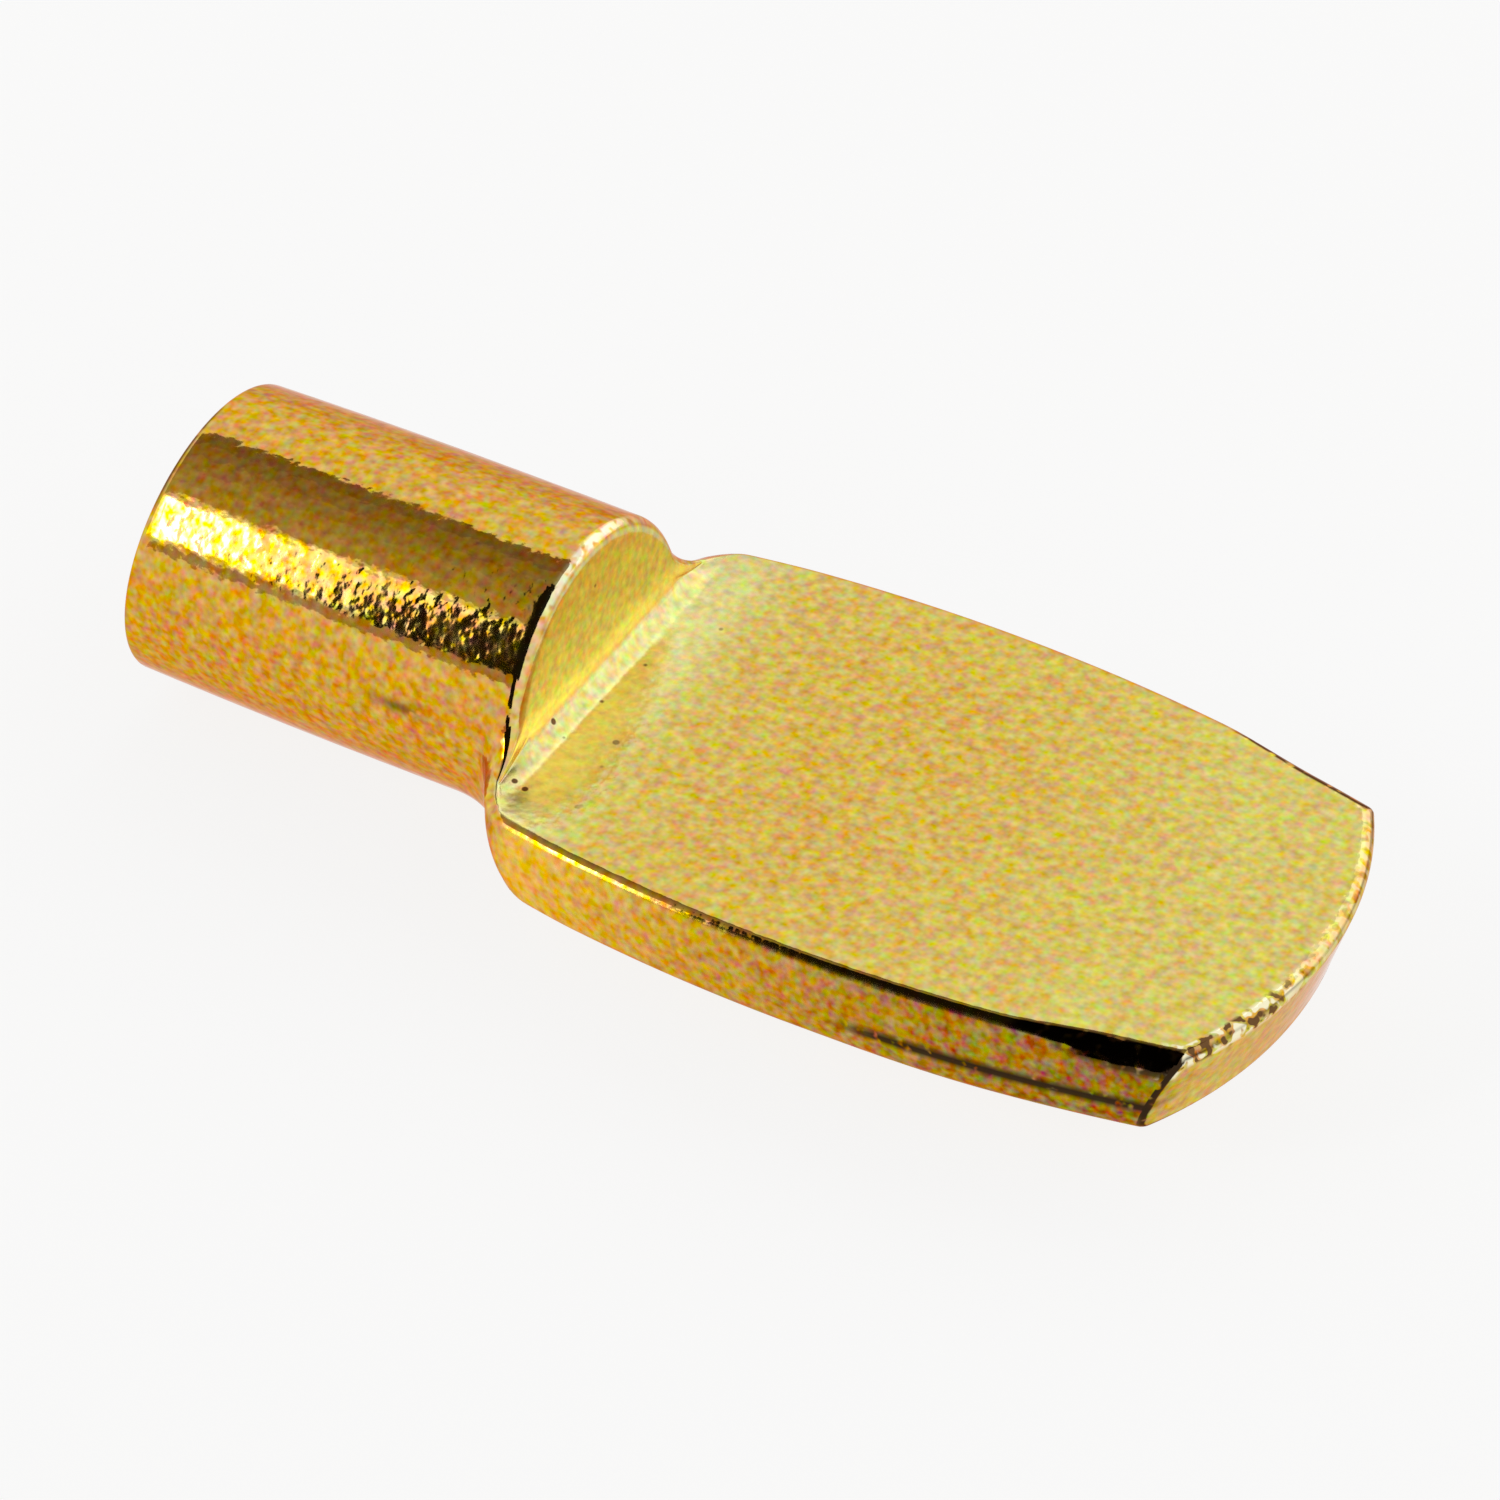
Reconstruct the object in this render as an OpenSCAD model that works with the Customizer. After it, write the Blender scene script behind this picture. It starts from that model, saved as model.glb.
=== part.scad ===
// Shelf support pin, paddle pattern, for a 1/4 inch hole.
//
// One length of round wire: the peg is left round and pushes into the hole in the
// cabinet side, the rest is coined flat between dies into the blade the shelf lies on.
// The top die leaves a sharp shoulder across the wire; metal squeezed sideways flares
// out of the peg into the root of the blade.
//
// Frame: X runs along the peg, cropped end to blade tip, with x = 0 where the straight
// peg ends, which is the face of the cabinet side.  Z is up, towards the shelf, with
// z = 0 on the peg's axis, which is also the seat face.  The part is the same on both
// sides of y = 0.  Sizes in millimetres.

/* [Peg] */
// Diameter, a slide fit in a 6.35 hole
peg_d = 6.3; // [5:0.05:7]
// Length on the axis, shoulder to cropped end
peg_len = 9; // [7:0.1:14]
// Degrees the cropped end leans, its top set back
end_lean = 7; // [0:0.5:9]
// Bevel round the cropped end
end_bevel = 0.15; // [0.1:0.05:0.5]

/* [Blade] */
// Length, shoulder to tip
blade_len = 15.8; // [13:0.1:20]
// Width at the belly
blade_w = 10.5; // [9:0.1:13]
// Thickness below the seat face
blade_t = 1.95; // [1.5:0.05:2.5]
// Distance from the shoulder to the widest place
belly_x = 6.2; // [4:0.1:9]
// Radius of the long sides, seen from above
side_r = 36; // [26:1:60]
// Radius of the tip, seen from above
tip_r = 8.6; // [6:0.1:14]

/* [Blade edges] */
// Rounding along the seat face
seat_edge_r = 0.25; // [0.1:0.05:0.4]
// Rounding along the underside
under_edge_r = 0.35; // [0.2:0.05:0.6]
// How far the side walls bulge
side_bulge = 0.08; // [0.04:0.02:0.2]
// How far the tip face slopes back on its way down
tip_draft = 0.45; // [0.1:0.05:0.6]
// Rounding over the tip
tip_over_r = 0.2; // [0.1:0.05:0.3]
// Rounding under the tip
tip_under_r = 0.2; // [0.1:0.05:0.45]

/* [Neck and shoulder] */
// Degrees the shoulder face leans back
shoulder_lean = 2.5; // [0.5:0.5:12]
// Rounding of the shoulder's top edge
shoulder_edge_r = 0.3; // [0.15:0.05:0.4]
// Fillet in the crease between shoulder and seat
crease_r = 0.5; // [0.3:0.05:0.7]
// Degrees above the seat where the flank leaves the round of the peg
flank_from = 20; // [15:1:30]
// Length of peg that flares towards the underside
flare_run = 1.9; // [1:0.1:2.6]
// Length of peg that flares towards the seat
flare_top = 0.8; // [0.4:0.1:1.2]
// How far each side is drawn in at the shoulder
root_pinch = 0.4; // [0.1:0.05:0.6]
// Where the root has opened to the long sides
root_open = 0.8; // [0.6:0.1:1.4]
// Length behind the shoulder over which the drawn-in sides level off
root_run = 0.6; // [0.3:0.1:1]
// Where the keel under the neck has run out
keel_end = 2.4; // [1.8:0.1:3.4]

/* [Hidden] */
$fn = 96;

peg_r = peg_d / 2;
lap = 0.01;                 // the coined neck stands this far inside what it joins

// Everything from here on is laid out from the shoulder's top edge, and shelf_pin()
// moves the finished pin along to the cabinet face

// Seat face starts here: foot of the shoulder, then the run of the crease fillet
shoulder_foot = peg_r * tan(shoulder_lean);
seat_x = shoulder_foot + crease_r / tan(45 + shoulder_lean / 2);

// Rows along the neck and columns round half of it
flare_rows = 12;
edge_rows = 4;
face_rows = 2;
crease_rows = 5;
root_rows = 6;
drop_rows = edge_rows + face_rows + crease_rows;
rows = flare_rows + drop_rows + root_rows;
arc_cols = 16;
flank_cols = 9;
under_cols = 8;
crown_end = arc_cols;                   // last column on the arc that neck and peg share
flank_end = arc_cols + flank_cols;      // where the flank meets the blade's edge
crown_cols = flank_end - 2;

function ease(t) = let (c = min(1, max(0, t))) c * c * (3 - 2 * c);
function mix(a, b, t) = a + (b - a) * t;
function polar(r, a) = [r * cos(a), r * sin(a)];

// Half the blade's width at x: one long arc, drawn in as it nears the shoulder
function arc_w(x) = blade_w / 2 - side_r + sqrt(side_r * side_r - pow(x - belly_x, 2));
function half_w(x) = arc_w(x) - root_pinch * pow(max(0, 1 - x / root_open), 2);

// The same at the root, carried on behind the shoulder's foot without a corner but
// levelling off within root_run
function root_w(x) = half_w(
    max(x, shoulder_foot) - root_run * (1 - exp(min(0, x - shoulder_foot) / root_run)));

// Section of the blade's edge, [inset from its widest, height], seat to underside
wall_top = -seat_edge_r;
wall_low = under_edge_r - blade_t;
blade_edge = concat(
    [for (a = [0 : 22.5 : 90])
        [side_bulge + seat_edge_r * (1 - sin(a)), seat_edge_r * (cos(a) - 1)]],
    [for (f = [0.25 : 0.25 : 0.75])
        [side_bulge * pow(2 * f - 1, 2), mix(wall_top, wall_low, f)]],
    [for (a = [90 : -22.5 : 0])
        [side_bulge + under_edge_r * (1 - sin(a)), under_edge_r * (1 - cos(a)) - blade_t]]);
edge_cols = len(blade_edge);
half_cols = crown_cols + edge_cols + under_cols;

// Section of the tip's edge, the same way, sloping back by tip_draft
tip_edge = concat(
    [for (a = [0 : 30 : 90]) tip_over_r * [1 - sin(a), cos(a) - 1]],
    [for (a = [90 : -22.5 : 0])
        [tip_draft + tip_under_r * (1 - sin(a)), tip_under_r * (1 - cos(a)) - blade_t]]);

// ---- Half sections, [y, z], numbered from the crown round the edge to the keel ----

// On the round peg
function peg_angle(k) =
    k <= crown_end ? mix(90, flank_from, k / crown_end) :
    k <= flank_end ? mix(flank_from, 0, (k - crown_end) / (flank_end - crown_end)) :
    k < crown_cols + edge_cols ? -40 * (k - flank_end) / (edge_cols - 3) :
    mix(-40, -90, (k - crown_cols - edge_cols + 1) / under_cols);
function peg_point(k, inset) = polar(peg_r - inset, peg_angle(k));

// On the edge and underside of a blade of half-width w
function blade_point(k, w) =
    k < crown_cols + edge_cols
        ? let (e = blade_edge[k - crown_cols]) [w - e[0], e[1]]
        : let (e = blade_edge[edge_cols - 1], u = (k - crown_cols - edge_cols + 1) / under_cols)
          [(w - e[0]) * (1 - u), -blade_t];

// The bell the metal fills just behind the shoulder: the peg's own arc over the top, then
// a hollow flank, leaving the arc along its tangent, out to the rounded edge of the blade
flank_0 = polar(peg_r, flank_from);
flank_1 = flank_0 + 0.7 * tan(flank_from) * peg_r * [sin(flank_from), -cos(flank_from)];
function corner(w) = let (e = blade_edge[2]) [w - e[0], e[1]];
function flank_u(k) = max(0, (k - crown_end) / (flank_end - crown_end));
function bell_point(k, w) =
    k <= crown_end ? polar(peg_r, peg_angle(k)) :
    k >= flank_end ? blade_point(k, w) :
    let (u = flank_u(k)) mix(mix(flank_0, flank_1, u), mix(flank_1, corner(w), u), u);

// Outward normal of the bell's crown and flank
function bell_normal(k, w) =
    let (d = mix(flank_1 - flank_0, corner(w) - flank_1, flank_u(k)))
    k <= crown_end ? polar(1, peg_angle(k)) : [-d[1], d[0]] / norm(d);

// How far the neck has opened at x, from 0 on the round peg to 1: soon and sharply by the
// seat, slower by the underside, slowest along the keel
function down(k) = ease((k - flank_end) / (edge_cols - 4));
function keel(k) = ease((k - crown_cols - edge_cols + 1) / under_cols);
function opens_at(k) = -mix(flare_top, flare_run, down(k));
function opened_by(k) =
    mix(k <= crown_cols ? rim_start(k) : shoulder_foot / 2, mix(1.4, keel_end, keel(k)), down(k));
function opened(k, x) = ease((x - opens_at(k)) / (opened_by(k) - opens_at(k)));

// Section of the neck at x: round peg opening to the bell, whose last bit of flank by the
// corner turns into the blade's rounded edge along the foot of the shoulder
function settled(x) = min(1, max(0, (x - shoulder_foot) / (seat_x - shoulder_foot)));
function neck_section(k, x, inset) =
    let (w = root_w(x) - lap * ease((x - seat_x) / (keel_end - seat_x)),
         full = mix(bell_point(k, w), blade_point(max(k, crown_cols), w), settled(x)),
         p = mix(peg_point(k, inset), full, opened(k, x)))
    [x, p[0], p[1]];

// ---- Rows of the neck ----

// Columns that run down the shoulder face; the others only go forward
function on_face(k) = k <= crown_cols;
function rim_z(k) = bell_point(k, 0)[1];
function rim_r(k) = min(shoulder_edge_r, 0.35 * rim_z(k));
function rim_start(k) =
    on_face(k) ? (peg_r - rim_z(k)) * tan(shoulder_lean) - rim_r(k) : shoulder_foot;
function rim(k) = bell_point(k, root_w(rim_start(k)));
function rim_normal(k) = bell_normal(k, root_w(rim_start(k)));

// Shoulder face height at which the crease fillet takes over
function fillet_r(k) = min(crease_r, 0.45 * rim_z(k));
function fillet_point(k, b) =
    let (r = fillet_r(k), cx = shoulder_foot + r / tan(45 + shoulder_lean / 2))
    [cx - r * sin(b), r * (1 - cos(b))];

// Down the shoulder: over its rounded edge, down its face, round the crease.  Columns
// spread a little on the way, so that the outermost meets the rounded edge of the blade
function rim_y(k) = rim(k)[0] - rim_r(k) * rim_normal(k)[0];
spread = neck_section(crown_cols, seat_x, 0)[1] / rim_y(crown_cols);
function drop_point(k, i) =
    let (r = rim_r(k), n = rim_normal(k), p = rim(k),
         a = 90 * min(i, edge_rows) / edge_rows,
         edge = [rim_start(k) + r * sin(a),
                 p[0] - r * (1 - cos(a)) * n[0], p[1] - r * (1 - cos(a)) * n[1]],
         y = edge[1] * mix(1, spread, ease((i - edge_rows) / (drop_rows - edge_rows))),
         b = (90 - shoulder_lean) * min(1, (drop_rows - i) / crease_rows),
         f = fillet_point(k, b),
         foot = f[0] + (seat_x - fillet_point(k, 0)[0]) * (1 - b / (90 - shoulder_lean)))
    i <= edge_rows ? edge :
    i < edge_rows + face_rows
        ? let (t = (i - edge_rows) / face_rows) [mix(edge[0], f[0], t), y, mix(edge[2], f[1], t)]
        : [foot, y, f[1]];

// Along the seat from the crease, columns spreading out evenly
function seat_point(k, t) =
    let (x = mix(seat_x, keel_end, t), edge = neck_section(crown_cols, x, 0)[1],
         u = drop_point(k, drop_rows)[1] / drop_point(crown_cols, drop_rows)[1])
    [x, mix(u, k / crown_cols, t) * edge, 0];

function neck_point(k, i) =
    let (d = i - flare_rows, r = d - drop_rows)
    d <= 0 ? neck_section(k, mix(-flare_run, rim_start(k), i / flare_rows),
                          lap * (1 - ease(3 * i / flare_rows))) :
    on_face(k) ? (r <= 0 ? drop_point(k, d) : seat_point(k, r / root_rows)) :
    neck_section(k, r <= 0 ? mix(shoulder_foot, seat_x, d / drop_rows)
                           : mix(seat_x, keel_end, r / root_rows), 0);

// Whole ring: one half from crown to keel, then the other half back up
ring = 2 * half_cols - 2;
function ring_point(j, i) =
    j < half_cols ? neck_point(j, i) :
    let (p = neck_point(ring - j, i)) [p[0], -p[1], p[2]];

// Rings joined by triangles, each end closed by a fan about a point on the centreline
module neck() {
    first = (rows + 1) * ring;
    polyhedron(
        points = concat(
            [for (i = [0 : rows]) for (j = [0 : ring - 1]) ring_point(j, i)],
            [[-flare_run, 0, 0], [keel_end, 0, -blade_t / 2]]),
        faces = concat(
            [for (j = [0 : ring - 1]) [first, (j + 1) % ring, j]],
            [for (i = [0 : rows - 1]) for (j = [0 : ring - 1])
                let (a = i * ring + j, b = i * ring + (j + 1) % ring) [a, b, a + ring]],
            [for (i = [0 : rows - 1]) for (j = [0 : ring - 1])
                let (a = i * ring + j, b = i * ring + (j + 1) % ring) [b, b + ring, a + ring]],
            [for (j = [0 : ring - 1])
                [first + 1, rows * ring + j, rows * ring + (j + 1) % ring]]),
        convexity = 6);
}

// Round peg, cropped at a slight lean and bevelled
module peg() {
    reach = peg_len + 2;
    intersection() {
        translate([-reach, 0, 0]) rotate([0, 90, 0])
            cylinder(h = reach - flare_run + 5 * lap, r = peg_r);
        translate([-peg_len, 0, 0]) rotate([0, 90 + end_lean, 0])
            cylinder(h = reach + 2, r1 = peg_r - end_bevel, r2 = peg_r - end_bevel + reach + 2);
    }
}

// A flat disc whose rim has the given edge section
module edged_disc(r, edge) {
    rotate_extrude($fn = 360)
        polygon(concat([[0, 0]], [for (e = edge) [r - e[0], e[1]]], [[0, -blade_t]]));
}

// Blade: what the two long sides and the tip have in common
module blade() {
    intersection() {
        translate([belly_x, side_r - blade_w / 2, 0]) edged_disc(side_r, blade_edge);
        translate([belly_x, blade_w / 2 - side_r, 0]) edged_disc(side_r, blade_edge);
        translate([blade_len - tip_r, 0, 0])
            union() {
                edged_disc(tip_r, tip_edge);
                translate([-blade_len, -blade_w, -blade_t])
                    cube([blade_len, 2 * blade_w, blade_t]);
            }
        translate([keel_end - 2 * lap, -blade_w, -blade_t - 1])
            cube([blade_len, 2 * blade_w, blade_t + 2]);
    }
}

module shelf_pin() {
    color("goldenrod") translate([flare_run, 0, 0]) union() {
        peg();
        neck();
        blade();
    }
}

shelf_pin();
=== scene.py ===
from math import atan2, cos, hypot, pi, radians, sin, sqrt, tan

import bpy
import numpy as np
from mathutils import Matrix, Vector


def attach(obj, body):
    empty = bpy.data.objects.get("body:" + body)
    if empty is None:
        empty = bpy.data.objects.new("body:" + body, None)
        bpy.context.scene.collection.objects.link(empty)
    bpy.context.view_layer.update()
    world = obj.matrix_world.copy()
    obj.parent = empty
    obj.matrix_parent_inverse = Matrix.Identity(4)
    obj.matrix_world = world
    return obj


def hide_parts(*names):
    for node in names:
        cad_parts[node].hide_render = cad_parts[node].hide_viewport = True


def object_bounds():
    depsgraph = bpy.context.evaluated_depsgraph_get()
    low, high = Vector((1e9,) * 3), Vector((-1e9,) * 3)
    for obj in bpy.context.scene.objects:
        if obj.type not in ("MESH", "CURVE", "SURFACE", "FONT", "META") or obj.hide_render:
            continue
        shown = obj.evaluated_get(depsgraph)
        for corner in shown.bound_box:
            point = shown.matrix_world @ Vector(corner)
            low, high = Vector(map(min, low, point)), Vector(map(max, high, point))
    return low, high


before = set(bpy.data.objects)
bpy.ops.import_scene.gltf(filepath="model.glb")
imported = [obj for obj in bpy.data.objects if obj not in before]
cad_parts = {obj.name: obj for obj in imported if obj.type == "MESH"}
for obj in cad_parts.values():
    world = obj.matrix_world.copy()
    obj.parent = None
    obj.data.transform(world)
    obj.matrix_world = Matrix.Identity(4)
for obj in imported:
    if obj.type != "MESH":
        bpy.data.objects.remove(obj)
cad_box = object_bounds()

# ---------------------------------------------------------------------------------------
# The blank: one cropped length of 6.3 mm steel wire.  One end stays round as the peg; it
# was sheared off at a slight lean and its rim broken in the barrel.  All sizes are in
# millimetres from the top edge of the shoulder and become metres in the frame at the end.

PEG_R, PEG_LEN = 3.15, 9.0
END_LEAN, END_ROUND = radians(7), 0.15      # the cut leaves the peg shorter on top

ARC, FLANK, ROUND, WALL = 30, 22, 8, 13     # columns round half a section, crown to keel
LIP = ROUND // 2                            # the flank ends half way over the blade's edge
CROWN = ARC + FLANK - LIP                   # columns on the crown and down the shoulder
EDGE = 2 * ROUND + WALL + 2                 # levels of the blade's edge, seat to underside
KEEL = CROWN                                # columns under the keel, as many as on the seat
HALF = CROWN + EDGE + KEEL
FLANK_FROM, EDGE_TO = radians(20), radians(-40)     # flank and edge as they lie on the peg
ABOVE, CLOSING = 0.8, 1.6                   # the flank's share above the edge; it closes up there
column = np.arange(HALF)
flank_u = (ABOVE * (1 - (1 - np.clip((column - ARC) / (FLANK - LIP), 0, 1)) ** CLOSING)
           + (1 - ABOVE) * np.clip((column - CROWN) / LIP, 0, 1))


def mix(a, b, t):
    """a at t = 0, b at t = 1, straight between."""
    return a + (b - a) * t


def peg_angle():
    """Angle of each column above the seat plane: even down the crown, closing up along
    the flank, then evenly round below to the keel at -90 degrees."""
    k, end, under = column, ARC + FLANK, CROWN + EDGE - 1
    a = np.where(k <= ARC, mix(pi / 2, FLANK_FROM, k / ARC), FLANK_FROM * (1 - flank_u))
    a = np.where(k > end, EDGE_TO * (k - end) / (under - end), a)
    return np.where(k >= under, mix(EDGE_TO, -pi / 2, (k - under) / KEEL), a)


around = peg_angle()
peg_yz = PEG_R * np.stack([np.cos(around), np.sin(around)])


def end_face(rings):
    """The cut end: the peg's circle shrunk towards the middle, on a plane that leans,
    x = -length + z tan(lean)."""
    s = (1 - END_ROUND / PEG_R) * np.linspace(0, 1, rings)[:, None]
    y, z = peg_yz[0] * s, peg_yz[1] * s
    return np.stack([z * tan(END_LEAN) - PEG_LEN, y, z])


def peg_wall(turns, rows, stop):
    """Quarter round from the end face on to the wall, then straight along x to stop."""
    a = np.linspace(0, pi / 2, turns + 1)[1:, None]
    r = 1 - END_ROUND / PEG_R * (1 - np.sin(a))
    y, z = peg_yz[0] * r, peg_yz[1] * r
    rim = np.stack([z * tan(END_LEAN) - PEG_LEN + END_ROUND * (1 - np.cos(a)), y, z])
    t = np.linspace(0, 1, rows + 1)[1:-1, None]
    wall = np.stack([mix(rim[0, -1], stop, t), *(c + 0 * t for c in peg_yz)])
    return np.concatenate([rim, wall], 1)


# ---------------------------------------------------------------------------------------
# The blade: the other end of the same wire, struck flat between dies.  Its sides are
# long shallow arcs, barrelled where the metal spread; the tip is blanked to a blunt
# curve that slopes back under the seat.

LENGTH, WIDTH, THICK = 15.8, 10.5, 1.95
BELLY_X, SIDE_R, TIP_R, CORNER_R = 6.2, 36.0, 8.6, 0.25
SEAT_ROUND, UNDER_ROUND, BARREL = 0.25, 0.35, 0.08
TIP_DRAFT, TIP_OVER, TIP_UNDER = 0.45, 0.2, 0.2
PINCH, OPEN_X, KEEL_X = 0.4, 0.8, 2.4       # drawn in by this at the shoulder, up to OPEN_X


def edge_levels():
    """Inset and height down the blade's edge: a quarter round of SEAT_ROUND, a wall that
    bulges by BARREL as a parabola, and a quarter round of UNDER_ROUND."""
    a = np.linspace(0, pi / 2, ROUND + 1)
    f = np.arange(1, WALL + 1) / (WALL + 1)
    top = BARREL + SEAT_ROUND * (1 - np.sin(a)), SEAT_ROUND * (np.cos(a) - 1)
    wall = BARREL * (2 * f - 1) ** 2, mix(-SEAT_ROUND, UNDER_ROUND - THICK, f)
    b = a[::-1]
    low = BARREL + UNDER_ROUND * (1 - np.sin(b)), UNDER_ROUND * (1 - np.cos(b)) - THICK
    return np.concatenate([top, wall, low], 1)


side_in, level_z = edge_levels()


def tip_inset(z):
    """Inset of the tip face at height z: a quarter round over, a straight slope back by
    TIP_DRAFT, a quarter round under."""
    low = TIP_UNDER - THICK
    over = TIP_OVER - np.sqrt(TIP_OVER**2 - np.clip(TIP_OVER + z, 0, None) ** 2)
    slope = TIP_DRAFT * np.clip((-TIP_OVER - z) / (-TIP_OVER - low), 0, 1)
    under = TIP_UNDER - np.sqrt(TIP_UNDER**2 - np.clip(low - z, 0, TIP_UNDER) ** 2)
    return over + slope + under


def half_width(x):
    """Half the blade's width: one long arc, drawn in by a parabola near the shoulder."""
    arc = WIDTH / 2 - SIDE_R + np.sqrt(SIDE_R**2 - (x - BELLY_X) ** 2)
    return arc - PINCH * np.clip(1 - x / OPEN_X, 0, None) ** 2


class Outline:
    """Plan of the blade at one level: the long side, a small round, half the tip.  The
    round's centre is where circles CORNER_R inside the side's and the tip's arcs cross."""

    def __init__(self, inset, z):
        self.side = SIDE_R - inset
        self.tip = TIP_R - tip_inset(z)
        self.hub = LENGTH - TIP_R
        self.axis = WIDTH / 2 - SIDE_R
        r1, r2 = self.side - CORNER_R, self.tip - CORNER_R
        dx, dy = self.hub - BELLY_X, -self.axis
        d = hypot(dx, dy)
        a = (r1 * r1 - r2 * r2 + d * d) / (2 * d)
        h = sqrt(r1 * r1 - a * a)
        self.cx = BELLY_X + (a * dx + h * dy) / d
        self.cy = self.axis + (a * dy - h * dx) / d
        self.from_side = atan2(self.cy - self.axis, self.cx - BELLY_X)
        self.from_tip = atan2(self.cy, self.cx - self.hub)

    def along(self, start, rows, turns):
        """x and y from start up the long side, then half way round the corner."""
        stop = BELLY_X + self.side * cos(self.from_side)
        x = mix(start, stop, np.linspace(0, 1, rows + 1))
        y = self.axis + np.sqrt(self.side**2 - (x - BELLY_X) ** 2)
        middle = (self.from_side + self.from_tip) / 2
        a = mix(self.from_side, middle, np.arange(1, turns + 1) / turns)
        return np.stack([np.r_[x, self.cx + CORNER_R * np.cos(a)],
                         np.r_[y, self.cy + CORNER_R * np.sin(a)]])

    def across(self, columns, turns):
        """x and y from the middle of the tip to its corner, then half way round it."""
        t = np.linspace(0, self.from_tip, columns - turns + 1)
        middle = (self.from_side + self.from_tip) / 2
        a = mix(self.from_tip, middle, np.arange(1, turns + 1) / turns)
        return np.stack([np.r_[self.hub + self.tip * np.cos(t), self.cx + CORNER_R * np.cos(a)],
                         np.r_[self.tip * np.sin(t), self.cy + CORNER_R * np.sin(a)]])


outlines = [Outline(i, z) for i, z in zip(side_in, level_z)]
BLADE_ROWS, TURNS = 76, 8


def flat_half(outline, z):
    """Half of a flat face as a Coons patch: the sum of the two blends between opposite
    edges, less the blend of the four corners."""
    right = outline.along(KEEL_X, BLADE_ROWS, TURNS)
    end = outline.across(CROWN, TURNS)
    n = right.shape[1]
    u, v = np.linspace(0, 1, n)[:, None], np.linspace(0, 1, CROWN + 1)[None]
    left = np.stack([mix(KEEL_X, end[0, 0], u[:, 0]), np.zeros(n)])
    start = np.stack([np.full(CROWN + 1, KEEL_X), v[0] * right[1, 0]])
    xy = (mix(left[:, :, None], right[:, :, None], v)
          + mix(start[:, None], end[:, None], u)
          - mix(mix(left[:, :1, None], right[:, :1, None], v),
                mix(left[:, -1:, None], right[:, -1:, None], v), u))
    return np.concatenate([xy, np.full((1, n, CROWN + 1), z)])


def blade_rows():
    """Seat, edge and underside side by side, crown to keel, root to tip."""
    seat = flat_half(outlines[0], 0.0)
    under = flat_half(outlines[-1], -THICK)[:, :, ::-1]
    wall = np.stack([np.vstack([o.along(KEEL_X, BLADE_ROWS, TURNS),
                                np.full(BLADE_ROWS + 1 + TURNS, z)])
                     for o, z in zip(outlines, level_z)], 2)
    return np.concatenate([seat, wall[:, :, 1:-1], under], 2)[:, 1:]


def tip_face():
    """The tip, level by level: mirrored halves of each level's outline."""
    half = np.stack([np.vstack([o.across(CROWN, TURNS), np.full(CROWN + 1, z)])
                     for o, z in zip(outlines, level_z)], 1)
    far = half[:, :, :0:-1] * np.array([1, -1, 1])[:, None, None]
    return np.concatenate([far, half], 2)


# ---------------------------------------------------------------------------------------
# The neck: where the coining stops.  The top die cuts the wire to a sharp shoulder with
# a filleted foot; squeezed metal flares sideways out of the peg into the blade's root
# and leaves a hollow flank and a keel that runs out under the seat.

EDGE_R, CREASE_R, FOOT_LEAN = 0.3, 0.5, radians(2.5)
FLARE, FLARE_TOP = 1.9, 0.8                 # the flare starts this far behind, on top later
FLARE_ROWS, OVER_ROWS, FACE_ROWS, CREASE_ROWS, ROOT_ROWS = 26, 8, 8, 12, 16
DROP_ROWS = OVER_ROWS + FACE_ROWS + CREASE_ROWS
FOOT_X = PEG_R * tan(FOOT_LEAN)
SEAT_X = FOOT_X + CREASE_R / tan(pi / 4 + FOOT_LEAN / 2)
ROOT_RUN = 0.6                              # how far back the root still narrows
FLARED_X = 1.4                              # the blade's edge is fully out here, the keel later
PULL = 0.7                                  # part of its fall in which the flank keeps straight
EDGE_MOST, CREASE_MOST = 0.35, 0.45         # the radii's largest share of the shoulder's height


def ease(t):
    """3t^2 - 2t^3 with t held between 0 and 1: a soft start and a soft stop."""
    t = np.clip(t, 0, 1)
    return t * t * (3 - 2 * t)


def ramp(value, start, stop):
    """0 as far as start, 1 from stop on and eased between; start may be the larger."""
    return ease((value - start) / (stop - start))


down = ease((column - ARC - FLANK) / (EDGE - LIP))
keel = ease((column - CROWN - EDGE + 1) / KEEL)
flank_0 = PEG_R * np.array([cos(FLANK_FROM), sin(FLANK_FROM)])
pull = PULL * PEG_R * tan(FLANK_FROM)
flank_1 = flank_0 + pull * np.array([sin(FLANK_FROM), -cos(FLANK_FROM)])


def root_width(x):
    """Half-width w(x) of the root, carried on behind the foot F with the same slope but
    levelling off: w(F - d (1 - exp((x - F) / d))) for x < F, with d = ROOT_RUN."""
    back = np.minimum(x - FOOT_X, 0)
    return half_width(np.maximum(x, FOOT_X) - ROOT_RUN * (1 - np.exp(back / ROOT_RUN)))


def edge_points(w):
    """Section of a blade of half-width w, for the columns past the crown: down its edge,
    then straight in under it to the middle."""
    k = np.clip(column - CROWN, 0, EDGE - 1)
    in_ = np.clip((column - CROWN - EDGE + 1) / KEEL, 0, 1)
    return np.stack([(w - side_in[k]) * (1 - in_), level_z[k] + 0 * w])


def bell_points(w):
    """Section just behind the shoulder: the peg's arc over the crown, then a hollow flank,
    a quadratic Bezier that leaves the arc along its tangent, out to the blade's edge."""
    tip = np.stack([w - side_in[LIP], level_z[LIP] + 0 * w])
    f0, f1, u = flank_0[:, None, None], flank_1[:, None, None], flank_u
    flank = mix(mix(f0, f1, u), mix(f1, tip, u), u)
    lower = np.where(column < ARC + FLANK, flank, edge_points(w))
    return np.where(column <= ARC, peg_yz[:, None], lower)


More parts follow.
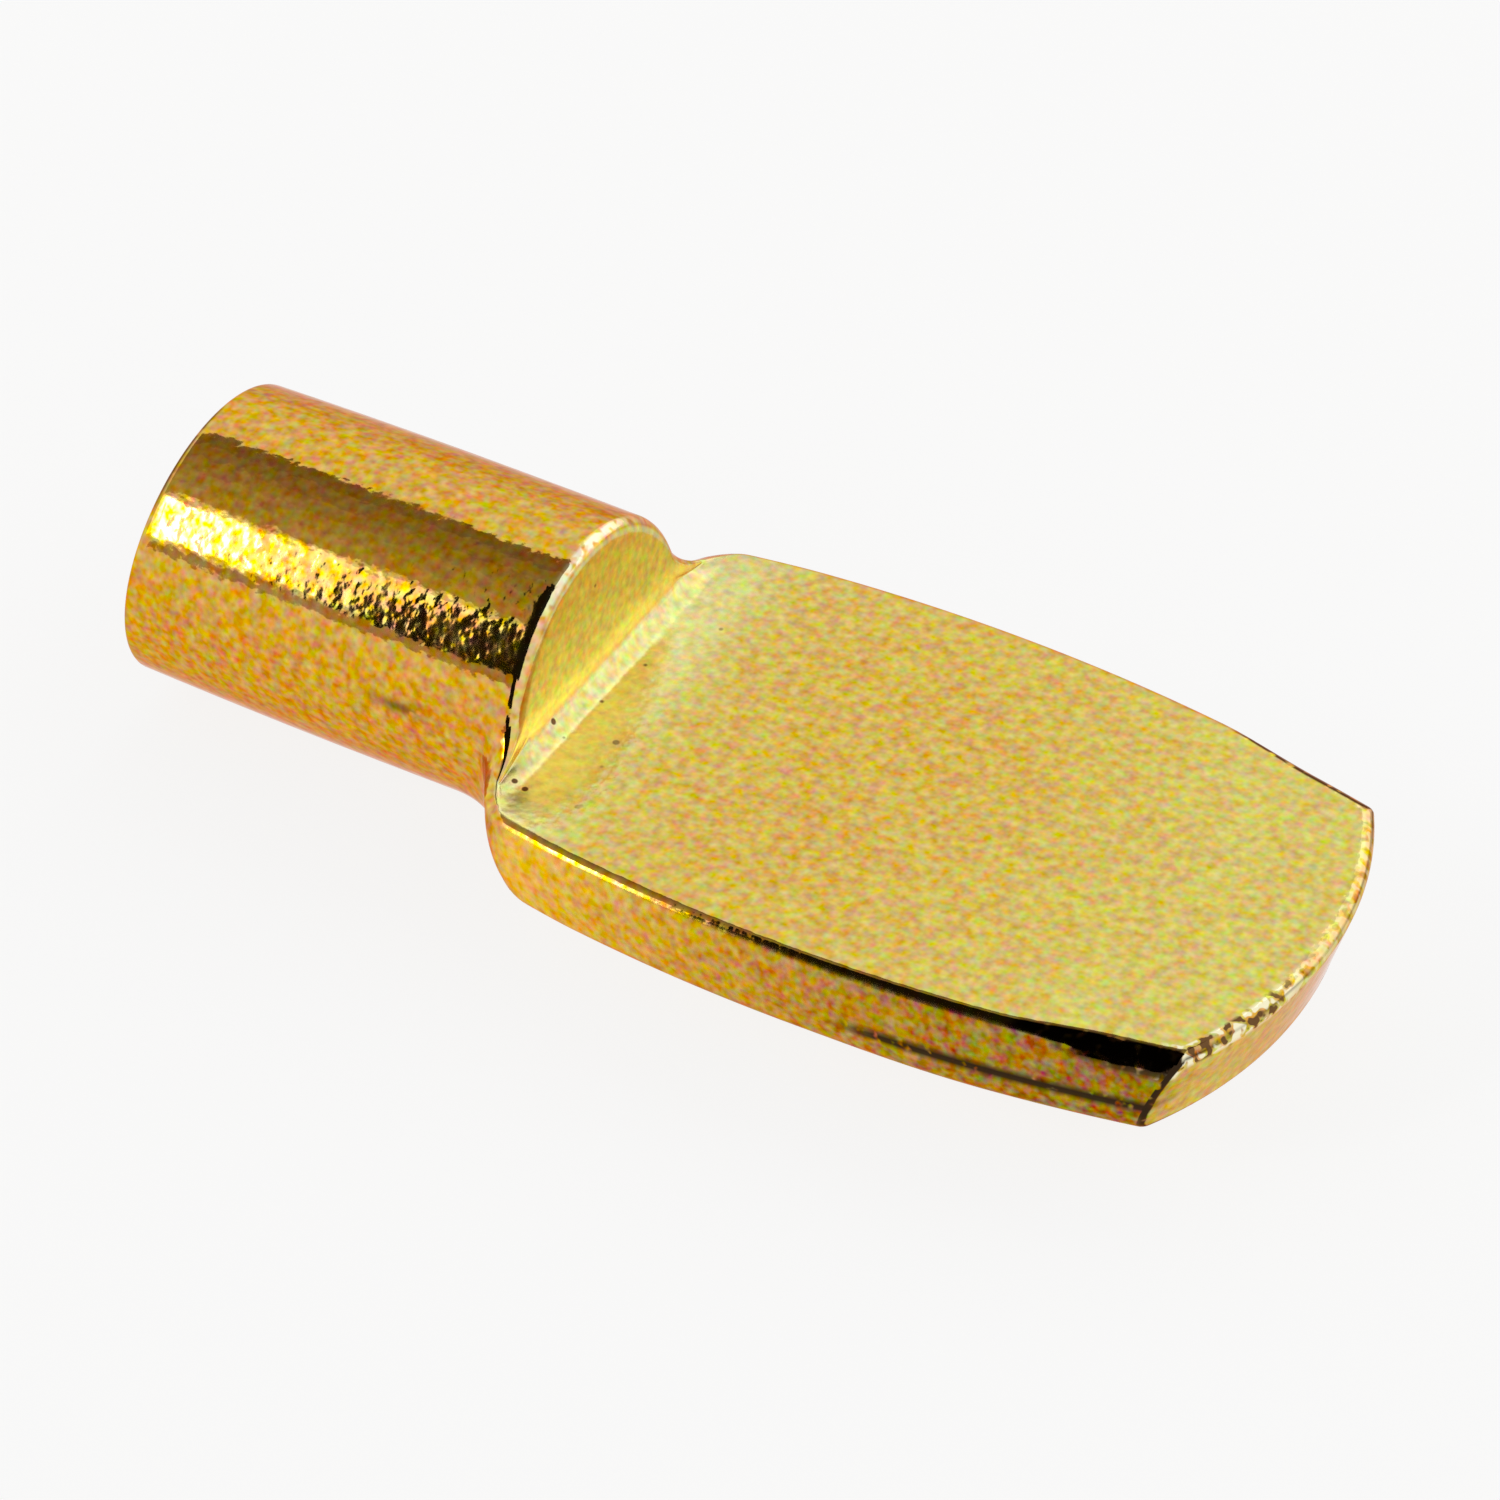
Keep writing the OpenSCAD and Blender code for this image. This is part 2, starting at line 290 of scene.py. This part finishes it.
def bell_normals(w):
    """Outward normals of the crown and the flank, across the Bezier's own direction."""
    tip = np.stack([w - side_in[LIP], level_z[LIP] + 0 * w])
    d = mix((flank_1 - flank_0)[:, None, None], tip - flank_1[:, None, None], flank_u)
    d = np.stack([-d[1], d[0]]) / np.hypot(*d)
    return np.where(column <= ARC, (peg_yz / PEG_R)[:, None], d)


on_face = column <= CROWN
rim_z = bell_points(0 * column[None])[1, 0]
rim_r = np.minimum(EDGE_R, EDGE_MOST * rim_z)
rim_x = np.where(on_face, (PEG_R - rim_z) * tan(FOOT_LEAN) - rim_r, FOOT_X)
rim_yz = bell_points(root_width(rim_x)[None])[:, 0]
rim_n = bell_normals(root_width(rim_x)[None])[:, 0]
opens = -mix(FLARE_TOP, FLARE, down)
opened = mix(np.where(on_face, rim_x, FOOT_X / 2), mix(FLARED_X, KEEL_X, keel), down)


def neck_section(x, settled):
    """Section at x, a rows by columns array: the round peg eased into the bell, sooner by
    the seat than by the keel, and the bell turned into the blade's edge as settled goes
    from 0 to 1."""
    w = root_width(x)
    full = mix(bell_points(w), edge_points(w), settled)
    yz = mix(peg_yz[:, None], full, ramp(x, opens, opened))
    return np.stack([x, *yz])


def crease(b):
    """Fillet at the foot: x and z on a circle of CREASE_R, b radians up from the seat."""
    r = np.minimum(CREASE_R, CREASE_MOST * rim_yz[1])
    cx = FOOT_X + r / tan(pi / 4 + FOOT_LEAN / 2)
    return cx - r * np.sin(b), r * (1 - np.cos(b))


def shoulder_rows():
    """Down the shoulder: a quarter round over its edge, its leaning face, the crease.
    Columns spread on the way until the outermost meets the blade's edge."""
    a = np.linspace(0, pi / 2, OVER_ROWS + 1)[1:, None]
    over_yz = rim_yz[:, None] - rim_r * (1 - np.cos(a)) * rim_n[:, None]
    over = np.stack([rim_x + rim_r * np.sin(a), *over_yz])
    steep = pi / 2 - FOOT_LEAN
    fx, fz = crease(steep)
    t = np.arange(1, FACE_ROWS + 1)[:, None] / FACE_ROWS
    face = np.stack([mix(over[0, -1], fx, t), over[1, -1] + 0 * t, mix(over[2, -1], fz, t)])
    b = steep * (1 - np.arange(1, CREASE_ROWS + 1)[:, None] / CREASE_ROWS)
    cx, cz = crease(b)
    cx = cx + (SEAT_X - crease(0)[0]) * (1 - b / steep)
    foot = np.stack([cx, over[1, -1] + 0 * b, cz])
    rows = np.concatenate([over, face, foot], 1)
    w_seat = half_width(np.array(SEAT_X)) - side_in[0]
    i = np.arange(1, DROP_ROWS + 1)[:, None]
    spread = ease((i - OVER_ROWS - FACE_ROWS) / CREASE_ROWS)
    rows[1] = rows[1] * mix(1, w_seat / over[1, -1, CROWN], spread)
    return rows


def neck_rows():
    """Flare, shoulder and root in one grid.  Crown columns go down the shoulder and out
    along the seat, evening their spacing; the rest only run forward along the section,
    and keep pace with the outermost crown column while it drops."""
    t = np.linspace(0, 1, FLARE_ROWS + 1)[:, None]
    flare = neck_section(mix(-FLARE, rim_x, t), 0)
    face = shoulder_rows()
    t = np.arange(1, DROP_ROWS + 1)[:, None] / DROP_ROWS
    dropped = 1 - face[2, :, CROWN, None] / rim_yz[1, CROWN]
    drop = neck_section(mix(FOOT_X, SEAT_X, t) + 0 * column, dropped)
    drop[:, :, on_face] = face[:, :, on_face]
    t = np.arange(1, ROOT_ROWS + 1)[:, None] / ROOT_ROWS
    x = mix(SEAT_X, KEEL_X, t)
    root = neck_section(x + 0 * column, 1)
    q = mix(drop[1, -1] / drop[1, -1, CROWN], column / CROWN, t)
    root[1, :, on_face] = (q * (half_width(x) - side_in[0])).T[on_face]
    root[2, :, on_face] = 0
    return np.concatenate([flare, drop, root], 1)


# ---------------------------------------------------------------------------------------
# The pin in one piece: peg, neck, blade and tip are one closed skin, as the struck wire
# is, mirrored about the middle plane and set with x = 0 at the cabinet's face.

END_ROWS, RIM_TURNS, PEG_ROWS = 14, 6, 52
RING = 2 * HALF - 2


def skin():
    """Half sections stacked from the middle of the end face to the tip, mirrored into
    rings of RING points, then the inner points of the tip face.  Returns the points, the
    number of rings and the index grid of the tip face."""
    half = np.concatenate([end_face(END_ROWS)[:, 1:], peg_wall(RIM_TURNS, PEG_ROWS, -FLARE),
                           neck_rows(), blade_rows()], 1)
    other = half[:, :, -2:0:-1] * np.array([1, -1, 1])[:, None, None]
    rings = np.concatenate([half, other], 2)
    rows = rings.shape[1]
    pole = np.array([[-PEG_LEN, 0, 0]])
    tip = tip_face()
    last = (rows - 1) * RING
    side = np.abs(np.arange(-CROWN, CROWN + 1))
    far = np.arange(-CROWN, CROWN + 1) < 0
    grid = np.empty((EDGE, 2 * CROWN + 1), int)

    def ring_index(k, mirrored):
        """Index of column k on the last ring, on its first half or the mirrored one."""
        return last + np.where(mirrored & (k > 0) & (k < HALF - 1), RING - k, k)

    level = np.arange(EDGE)
    inner = rows * RING + np.arange((EDGE - 2) * (2 * CROWN - 1))
    grid[1:-1, 1:-1] = inner.reshape(EDGE - 2, -1)
    grid[0], grid[-1] = ring_index(side, far), ring_index(HALF - 1 - side, far)
    grid[:, 0] = ring_index(CROWN + level, np.ones(EDGE, bool))
    grid[:, -1] = ring_index(CROWN + level, np.zeros(EDGE, bool))
    points = np.concatenate([rings.reshape(3, -1).T, tip[:, 1:-1, 1:-1].reshape(3, -1).T, pole])
    return points, rows, grid


END_DRAW, SHOULDER_DRAW = 0.06, 0.03        # barrelling at the two ends of the peg
END_FROM, SHOULDER_FROM = -4.0, -4.5        # and where each begins
ROLL, ROLL_X, ROLL_LOW = 0.2, (11.2, 13.4), -0.6    # rolled top of the walls near the tip
LIP_OUT, LIP_X, LIP_Z = 0.08, (7.2, 11.2), (-1.26, -1.46)   # lip along the walls' foot


def drawn(p):
    """What the barrel and the dies leave.  The radius about the peg's axis loses a part
    that grows with the square of the way out from the peg's middle to either end.  Near
    the tip the walls' tops roll in, with the square of the height above ROLL_LOW, and
    their feet stand out as a lip."""
    x, y, z = p.T
    end = np.clip((END_FROM - x) / (PEG_LEN + END_FROM), 0, 1) ** 2
    shoulder = np.clip(1 - x / SHOULDER_FROM, 0, 1) ** 2 * (1 - ease(x / KEEL_X))
    loss = (END_DRAW * end + SHOULDER_DRAW * shoulder) / PEG_R
    roll = ROLL * ramp(x, *ROLL_X) * np.clip(1 - z / ROLL_LOW, 0, 1) ** 2
    lip = LIP_OUT * ramp(x, *LIP_X) * ramp(z, *LIP_Z)
    out = (lip - roll) / half_width(ROLL_X[0])
    return np.stack([x, y * (1 - loss + out), z * (1 - loss)], 1)


points, rows, tip_grid = skin()
points = drawn(points)


def quads(index):
    """Faces of a grid of indices, one per cell."""
    return np.stack([index[:-1, :-1], index[1:, :-1], index[1:, 1:], index[:-1, 1:]], 2)


ring_grid = np.arange(rows * RING).reshape(rows, RING)
ring_grid = np.pad(ring_grid, ((0, 0), (0, 1)), "wrap")
faces = np.concatenate([quads(ring_grid).reshape(-1, 4), quads(tip_grid).reshape(-1, 4)])
fan = np.stack([np.full(RING, len(points) - 1), ring_grid[0, :-1], ring_grid[0, 1:]], 1)

points[:, 0] += FLARE
cad_low, cad_high = 1000 * np.array(cad_box)
points = cad_low + (points - points.min(0)) * (cad_high - cad_low) / np.ptp(points, 0)
pin_mesh = bpy.data.meshes.new("shelf_pin_skin")
pin_mesh.from_pydata((points * 0.001).tolist(), [], faces.tolist() + fan.tolist())
pin_mesh.update()
pin_mesh.polygons.foreach_set("use_smooth", np.ones(len(pin_mesh.polygons), bool))
pin = bpy.data.objects.new("shelf_pin_skin", pin_mesh)
bpy.context.scene.collection.objects.link(pin)
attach(pin, "root")
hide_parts("shelf_pin")

# ---------------------------------------------------------------------------------------
# The finish: bright brass plating, a few micrometres over tumbled steel, mottled and with
# the orange peel of the tumbling.  It goes from yellow on the flats to brown on the walls
# by the tip: painted light on the walls at the root and painted shade towards the tip.  It
# wears pale on edges, with painted highlights on some, and is dark in pinholes.  Painted
# shade lies on the back of the peg, a painted reflection under it, a painted glint at the
# shoulder's foot, and painted shade and dark reflections along lines and spots.

ROUND_BRASS, FLAT_BRASS = (0.70, 0.41, 0.075), (0.71, 0.58, 0.15)
BACK_SHADE_BRASS, UNDER_REFLECTION_BRASS = (0.60, 0.33, 0.06), (0.70, 0.365, 0.045)     # painted shade on the peg's back, painted reflection on its underside
WALL_LIT_BRASS, WALL_SHADE_BRASS = (0.92, 0.52, 0.075), (0.38, 0.19, 0.02)    # painted light on the walls at the root, painted shade towards the tip
INNER_BRASS, GLINT_BRASS = (0.68, 0.61, 0.23), (1.0, 0.94, 0.36)    # the shoulder, and a painted highlight at its foot
# PALE_BRASS is pale wear, and serves for painted highlights on edges as well
PALE_BRASS, BARE = (0.96, 0.90, 0.62), (0.16, 0.08, 0.03)
PAINTED_DARK = (0.035, 0.02, 0.01)                 # painted shade and painted dark reflections, in lines and spots
MOTTLE = (0.75, 0.72, 0.5)                  # how far red, green and blue stray
TINT = (0.9, 0.6, 0.5)                      # of what it mirrors at a grazing angle
POLISH, PATCHY, STRUCK, FROST = 0.055, 0.04, 0.21, 0.15     # roughness: all, patches, walls, neck
SPECKLE, PATCH, PEEL, CHIP, PIT, GRAIN = 5.2, 0.9, 3.8, 4.5, 1.3, 9.0   # details in a millimetre
GRAIN_SHARE, DEPTH = 0.2, 8e-6              # grain to peel, and the peel's depth in metres
MIX_A, MIX_B, MIX_OUT = 6, 7, 2             # the colour sockets of a Mix node


class Value:
    """A number that changes over the surface.  Arithmetic on it adds Math nodes."""

    def __init__(self, finish, socket):
        self.finish, self.socket = finish, socket

    def maths(self, operation, a, b):
        """A Math node on a and b, which are Values or numbers."""
        return self.finish.node("Math", {"operation": operation}, {0: a, 1: b})

    def __add__(self, other):
        return self.maths("ADD", self, other)

    def __sub__(self, other):
        return self.maths("SUBTRACT", self, other)

    def __rsub__(self, other):
        return self.maths("SUBTRACT", other, self)

    def __mul__(self, other):
        return self.maths("MULTIPLY", self, other)

    __radd__, __rmul__ = __add__, __mul__


class Finish:
    """A material and its nodes."""

    def __init__(self, name):
        self.material = bpy.data.materials.new(name)
        self.material.use_nodes = True
        self.tree = self.material.node_tree
        self.tree.nodes.clear()

    def node(self, kind, settings=None, sockets=None, output=0):
        """Adds a node: its settings, then a value or a link for each socket named or
        numbered.  Returns the wanted output."""
        node = self.tree.nodes.new("ShaderNode" + kind)
        for name, setting in (settings or {}).items():
            setattr(node, name, setting)
        for key, value in (sockets or {}).items():
            if isinstance(value, Value):
                self.tree.links.new(value.socket, node.inputs[key])
            else:
                node.inputs[key].default_value = value
        return Value(self, node.outputs[output]) if node.outputs else None

    def blend(self, a, b, factor):
        """Colour a where factor is 0, b where it is 1."""
        a, b = (c if isinstance(c, Value) else (*c, 1) for c in (a, b))
        return self.node("Mix", {"data_type": "RGBA"}, {0: factor, MIX_A: a, MIX_B: b}, MIX_OUT)

    def band(self, value, low, high):
        """0 at low, 1 at high, eased between; low may be the larger."""
        return self.node("MapRange", {"interpolation_type": "SMOOTHSTEP"},
                         {"Value": value, "From Min": low, "From Max": high})

    def noise(self, where, scale, detail=1.0, output=0):
        """Cloudy noise with so many lumps to the unit of where."""
        return self.node("TexNoise", {}, {"Vector": where, "Scale": scale, "Detail": detail},
                         output)


def bending(mesh):
    """Curvature of the skin at each vertex, 1/mm: the largest and the least of
    |n2 - n1| / |p2 - p1| over its edges, positive where the normals spread apart, negative
    in a hollow.  Returns both, and the normals."""
    count, edges = len(mesh.vertices), len(mesh.edges)
    p, n = np.empty(3 * count, np.float32), np.empty(3 * count, np.float32)
    ends = np.empty(2 * edges, np.int32)
    mesh.vertices.foreach_get("co", p)
    mesh.vertex_normals.foreach_get("vector", n)
    mesh.edges.foreach_get("vertices", ends)
    p, n, (a, b) = p.reshape(-1, 3) * 1000, n.reshape(-1, 3), ends.reshape(-1, 2).T
    dp, dn = p[b] - p[a], n[b] - n[a]
    length = np.linalg.norm(dp, axis=1).clip(0.01)
    bend = np.sign((dp * dn).sum(1)) * np.linalg.norm(dn, axis=1) / length
    most, least = np.zeros(count), np.zeros(count)
    for end in (a, b):
        np.maximum.at(most, end, bend)
        np.minimum.at(least, end, bend)
    return most, least, n


most, least, normal = bending(pin_mesh)
x, y, z = points.T
nx, ny, nz = normal.T

# Parts of the skin, told by their place and by the way they face.
RIM_TO, SEAT_FROM, NECK_TO, FACE_TO, TIP_FROM = -6.0, 2.0, 2.4, 3.0, 15.0
EDGE_BEND, HOLLOW_BEND = (1.5, 3.0), (-0.3, -1.3)
on_seat = ramp(nz, 0.9, 0.98) * (x > SEAT_FROM)
on_tip = ramp(nx, 0.75, 0.9) * (x > TIP_FROM)
on_shoulder = ramp(nx, 0.8, 0.95) * (x < FACE_TO)
in_crease = ramp(least, *HOLLOW_BEND) * (x < FACE_TO) * ramp(np.hypot(nx, nz), 0.8, 0.95)
steep = ramp(np.abs(nz), 0.8, 0.5)
sideways = ramp(np.abs(ny) - np.abs(nx), 0, 0.15) * (nz < 0.97)
edge = ramp(most, *EDGE_BEND)

# Lines and spots of painted shade and painted dark reflection.  A line runs low along the
# walls to the tip; a band hangs from the seat's edge, deeper towards the tip; the corner's
# is a single upright line.  The end's rim is darkened at its top front, and a spot sits on
# the peg's near side behind the shoulder.
WALL_LINE_X, WALL_LINE_Z, WALL_LINE_WIDE = (9.6, 11.0), -1.23, (0.17, 0.07)
TOP_BAND_X, TOP_BAND_Z, TOP_BAND_SOFT = (13.3, 13.7), -0.18, 0.1
DEEPER, DEEPER_X = 0.34, (13.6, 15.6)
CORNER_X, CORNER_NX, CORNER_WIDE = (15.8, 16.1), 0.53, (0.27, 0.21)
SPOT_X, SPOT_Z, SPOT_LONG, SPOT_HIGH = -0.65, 0.32, 0.5, 0.13
wall_dark_line = ramp(x, *WALL_LINE_X) * ramp(np.abs(z - WALL_LINE_Z), *WALL_LINE_WIDE) * steep * (1 - on_tip)
top_band_foot = TOP_BAND_Z - DEEPER * ramp(x, *DEEPER_X)
top_dark_band = ramp(x, *TOP_BAND_X) * ramp(z, top_band_foot, top_band_foot + TOP_BAND_SOFT) * sideways
corner = ramp(x, *CORNER_X) * ramp(np.abs(nx - CORNER_NX), *CORNER_WIDE) * steep
rim = (ramp(nx, -0.2, -0.4) * ramp(nx, -1.0, -0.95) * (x < RIM_TO)
       * ramp(z, 1.9, 2.5) * ramp(y, 0.3, -0.2))            # only its top, at the front
dark_spot = np.exp(-((x - SPOT_X) / SPOT_LONG) ** 2 - ((z - SPOT_Z) / SPOT_HIGH) ** 2) * (y < 0)

# How much of each colour there is, kept on the skin as attributes.
CALM_X, TO_ROOT, TO_TIP = 7.0, 4.0, 8.0     # the seat's yellow is weakest here, and its reach
CALM, ACROSS, HALF_WAY = 0.35, 0.3, 5.0
livelier = (((x - CALM_X) / np.where(x < CALM_X, TO_ROOT, TO_TIP)) ** 2
            + ACROSS * (y / HALF_WAY) ** 2)
# Painted shade on the walls: where it starts, how far it runs and how fast it grows
SHADE_FROM, SHADE_RUN, SHADE_POWER = 3.0, 12.5, 1.5
# the top front of the shoulder's edge, where its painted highlight is strongest
top_front = ramp(z, 2.3, 2.8) * ramp(y, 1.6, 0.7)
marks = {
    "flat": on_seat * mix(CALM, 1, np.clip(livelier, 0, 1)) + on_tip,
    "inner": np.clip(on_shoulder + on_seat * ramp(x, 4.4, 2.6) + in_crease, 0, 1),
    # painted highlight: a glint on the seat by the shoulder and on the shoulder's foot
    "pale": np.clip(on_seat * ramp(x, 3.9, 2.7) * np.clip(0.7 - 0.12 * y, 0.1, 1)
                    + on_shoulder * ramp(z, 0.9, 0.45), 0, 1),
    # pale wear on the shoulder's edge, strengthened as a painted highlight at its top front
    "wear_and_highlight": edge * (x < NECK_TO) * ramp(np.abs(nx - 0.5), 0.33, 0.18)
            * mix(0.25, 0.9, top_front),
    "wall": ramp(x, 2.2, 2.8) * steep * (1 - on_tip),
    # painted shade on the walls, growing towards the tip
    "wall_shade": 1 - np.clip(1 - (x - SHADE_FROM) / SHADE_RUN, 0, 1) ** SHADE_POWER,
    # painted shade on the peg's back, then a painted reflection on its underside
    "far": ramp(ny, 0.1, 0.4) * (x < NECK_TO),
    "low": ramp(nz, 0.5, 0.25) * (x < NECK_TO) * (nx < 0.5),
    # the tip's top edge: pale spots as painted highlights and bare chips, more on the near side
    "edge_chips_and_glint": ramp(x, 16.0, 16.5) * edge * (z > -0.5) * mix(0.3, 1.0, ramp(y, -0.5, -2.0)),
    # painted shade and painted dark reflections on lines and spots
    "painted_dark": np.clip(wall_dark_line + top_dark_band + corner + 0.8 * rim + 0.7 * dark_spot, 0, 1),
}
for name, amount in marks.items():
    attribute = pin_mesh.attributes.new(name, "FLOAT", "POINT")
    attribute.data.foreach_set("value", amount.astype(np.float32))

brass = Finish("brass_plate")
place = brass.node("TexCoord", output="Object")
where = brass.node("Mapping", {}, {"Vector": place, "Scale": (1000, 1000, 1000)})
flat, inner, pale, wear_and_highlight, wall, wall_shade, far, low, edge_chips_and_glint, painted_dark = (
    brass.node("Attribute", {"attribute_name": name}, output="Fac") for name in marks)

speckle = brass.noise(where, SPECKLE, 1.5, output="Color")
patches = brass.noise(where, PATCH, 2.0)
peel = brass.noise(where, PEEL)
chips = brass.noise(where, CHIP)
# the peg: painted reflection on its underside, painted shade on its back
tone = brass.blend(brass.blend(ROUND_BRASS, UNDER_REFLECTION_BRASS, low), BACK_SHADE_BRASS, far)
tone = brass.blend(tone, FLAT_BRASS, flat)
# the walls: painted light at the root, painted shade towards the tip
tone = brass.blend(tone, brass.blend(WALL_LIT_BRASS, WALL_SHADE_BRASS, wall_shade), wall)
tone = brass.blend(tone, INNER_BRASS, inner)
# painted highlight by the shoulder's foot
tone = brass.blend(tone, GLINT_BRASS, pale * brass.band(patches, 0.15, 0.5))
# pale wear and painted highlight on the shoulder's edge
tone = brass.blend(tone, PALE_BRASS, wear_and_highlight * brass.band(chips, 0.3, 0.5))
stray = brass.node("VectorMath", {"operation": "SUBTRACT"}, {0: speckle, 1: (0.5, 0.5, 0.5)})
tone = brass.node("VectorMath", {"operation": "MULTIPLY_ADD"}, {0: stray, 1: MOTTLE, 2: tone})
# painted highlights and bare chips on the tip's top edge
tone = brass.blend(tone, PALE_BRASS, edge_chips_and_glint * brass.band(chips, 0.46, 0.54))
tone = brass.blend(tone, BARE, edge_chips_and_glint * brass.band(chips, 0.42, 0.36))
pits = brass.band(brass.node("TexVoronoi", {}, {"Vector": where, "Scale": PIT}), 0.11, 0.07)
tone = brass.blend(tone, BARE, inner * pits)
# painted shade and painted dark reflections on lines and spots
tone = brass.blend(tone, PAINTED_DARK, painted_dark * brass.band(chips, 0.25, 0.45))

rough = (brass.band(patches, 0.35, 0.7) * PATCHY + POLISH
         + wall * (1 - painted_dark) * STRUCK + inner * FROST)
height = peel + brass.noise(where, GRAIN) * GRAIN_SHARE
bump = brass.node("Bump", {}, {"Strength": 1.0, "Distance": DEPTH, "Height": height})
surface = brass.node("BsdfPrincipled", {}, {"Base Color": tone, "Metallic": 1.0,
                                            "Roughness": rough, "Normal": bump,
                                            "Specular Tint": (*TINT, 1)})
brass.node("OutputMaterial", {}, {"Surface": surface})
pin_mesh.materials.append(brass.material)

# ---------------------------------------------------------------------------------------
# The studio: the pin lies on a plain pale sheet in a white room, seen from above its tip
# end.  A strip light with a bright core is at the front left, a large soft one at the
# back right; cloths, brown to olive overhead and black in front, draw the edges.

MIDDLE = Vector((0.005, 0, 0))              # what everything hangs round
LENS, SENSOR = 150.63, 36
CAMERA_AT, TILT, TURN = (0.050814, -0.078991, 0.078639), radians(40.98), radians(29.93)
camera_data = bpy.data.cameras.new("camera")
camera_data.sensor_width, camera_data.lens = SENSOR, LENS
camera_data.clip_start, camera_data.clip_end = 0.01, 20
camera = bpy.data.objects.new("camera", camera_data)
camera.location = CAMERA_AT
camera.rotation_euler = (pi / 2 - TILT, 0, TURN)
bpy.context.scene.collection.objects.link(camera)
bpy.context.scene.camera = camera


def staged_plane(name, corners, finish):
    """A flat four-sided stage piece with the given corners and finish."""
    mesh = bpy.data.meshes.new(name)
    mesh.from_pydata([tuple(c) for c in corners], [], [(0, 1, 2, 3)])
    mesh.materials.append(finish.material)
    piece = bpy.data.objects.new(name, mesh)
    bpy.context.scene.collection.objects.link(piece)


SHEET, PAPER = 3.0, (0.9, 0.9, 0.89)        # half its side in metres, and its colour
WHITENING = 0.85                            # the rest of the sheet's look is its own shading
paper = Finish("pale_paper")
lit = paper.node("BsdfDiffuse", {}, {"Color": (*PAPER, 1)})
white = paper.node("Emission", {}, {"Color": (1, 1, 1, 1), "Strength": 1.0})
seen = sum(paper.node("LightPath", output=f"Is {ray} Ray")
           for ray in ("Camera", "Glossy", "Transmission"))
sheet = paper.node("MixShader", {}, {0: seen * WHITENING, 1: lit, 2: white})
paper.node("OutputMaterial", {}, {"Surface": sheet})
ground = cad_box[0][2]
staged_plane("floor", [(SHEET * i, SHEET * j, ground)
                       for i, j in ((-1, -1), (1, -1), (1, 1), (-1, 1))], paper)

REACH, NEARER = 0.4, 0.97                   # lights hang this far off, cloths a little nearer


def panel(x0, x1, turn0, turn1, slant=0.0, reach=REACH):
    """Corners of a flat panel parallel to the pin, between two x and two angles in degrees
    about the pin's axis, counted from the back over the top; its left edge moves by slant
    from the first angle to the second."""
    return [MIDDLE + Vector((x, reach * cos(radians(t)), reach * sin(radians(t))))
            for x, t in ((x0, turn0), (x1, turn0), (x1, turn1), (x0 + slant, turn1))]


def softbox(name, x0, x1, turn0, turn1, brightness):
    """A soft light filling such a panel; brightness is the radiance of its face."""
    a, b, c = panel(x0, x1, turn0, turn1)[:3]
    data = bpy.data.lights.new(name, "AREA")
    data.shape, data.size, data.size_y = "RECTANGLE", (b - a).length, (c - b).length
    data.energy = brightness * pi * data.size * data.size_y
    light = bpy.data.objects.new(name, data)
    light.location = (a + c) / 2
    middle = radians((turn0 + turn1) / 2)
    away = Vector((0, cos(middle), sin(middle)))
    light.rotation_euler = away.to_track_quat("Z", "Y").to_euler()
    bpy.context.scene.collection.objects.link(light)


def flag(name, colour, *edges):
    """A cloth filling such a panel.  It hangs in front of the lights and glows dimly in its
    colour, so that the metal shows it in place of the bright room."""
    cloth = Finish(name)
    glow = cloth.node("Emission", {}, {"Color": (*colour, 1)})
    cloth.node("OutputMaterial", {}, {"Surface": glow})
    staged_plane(name, panel(*edges, reach=NEARER * REACH), cloth)


softbox("strip_light", -0.38, -0.15, 125, 157, 0.85)
softbox("strip_core", -0.27, -0.228, 127, 155, 9.0)
softbox("back_light", -0.08, 0.5, 5, 50, 0.35)

BLACK, HEM = (0.012, 0.01, 0.008), (0.5, 0.4, 0.36)
BROWN, OLIVE, STEPS = np.array((0.24, 0.18, 0.12)), np.array((0.52, 0.46, 0.28)), 5
OLIVE_FROM, OLIVE_TURN = 67, 11             # where the first hangs, and how wide each is
OLIVE_X, BACK_TO, TOP_TO = -0.34, 0.15, -0.15       # the two at the back reach further right
for k in range(STEPS):
    turn = OLIVE_FROM + OLIVE_TURN * k
    flag(f"olive_flag_{k}", mix(BROWN, OLIVE, k / (STEPS - 1)),
         OLIVE_X, BACK_TO if k < 2 else TOP_TO, turn, turn + OLIVE_TURN)
flag("black_flag", BLACK, -0.166, 0.2, 122, 160, -0.028)
flag("fringe_flag", HEM, -0.25, -0.1, 160, 167)
flag("dark_flag", BLACK, -0.15, 0.2, 89, 122)
flag("low_flag", BLACK, -0.1, 0.06, 160, 178)

ROOM = (0.97, 0.97, 0.97)
world = bpy.data.worlds.new("world")
world.use_nodes = True
world.node_tree.nodes["Background"].inputs["Color"].default_value = (*ROOM, 1)
bpy.context.scene.world = world
bpy.context.scene.view_settings.view_transform = "Standard"
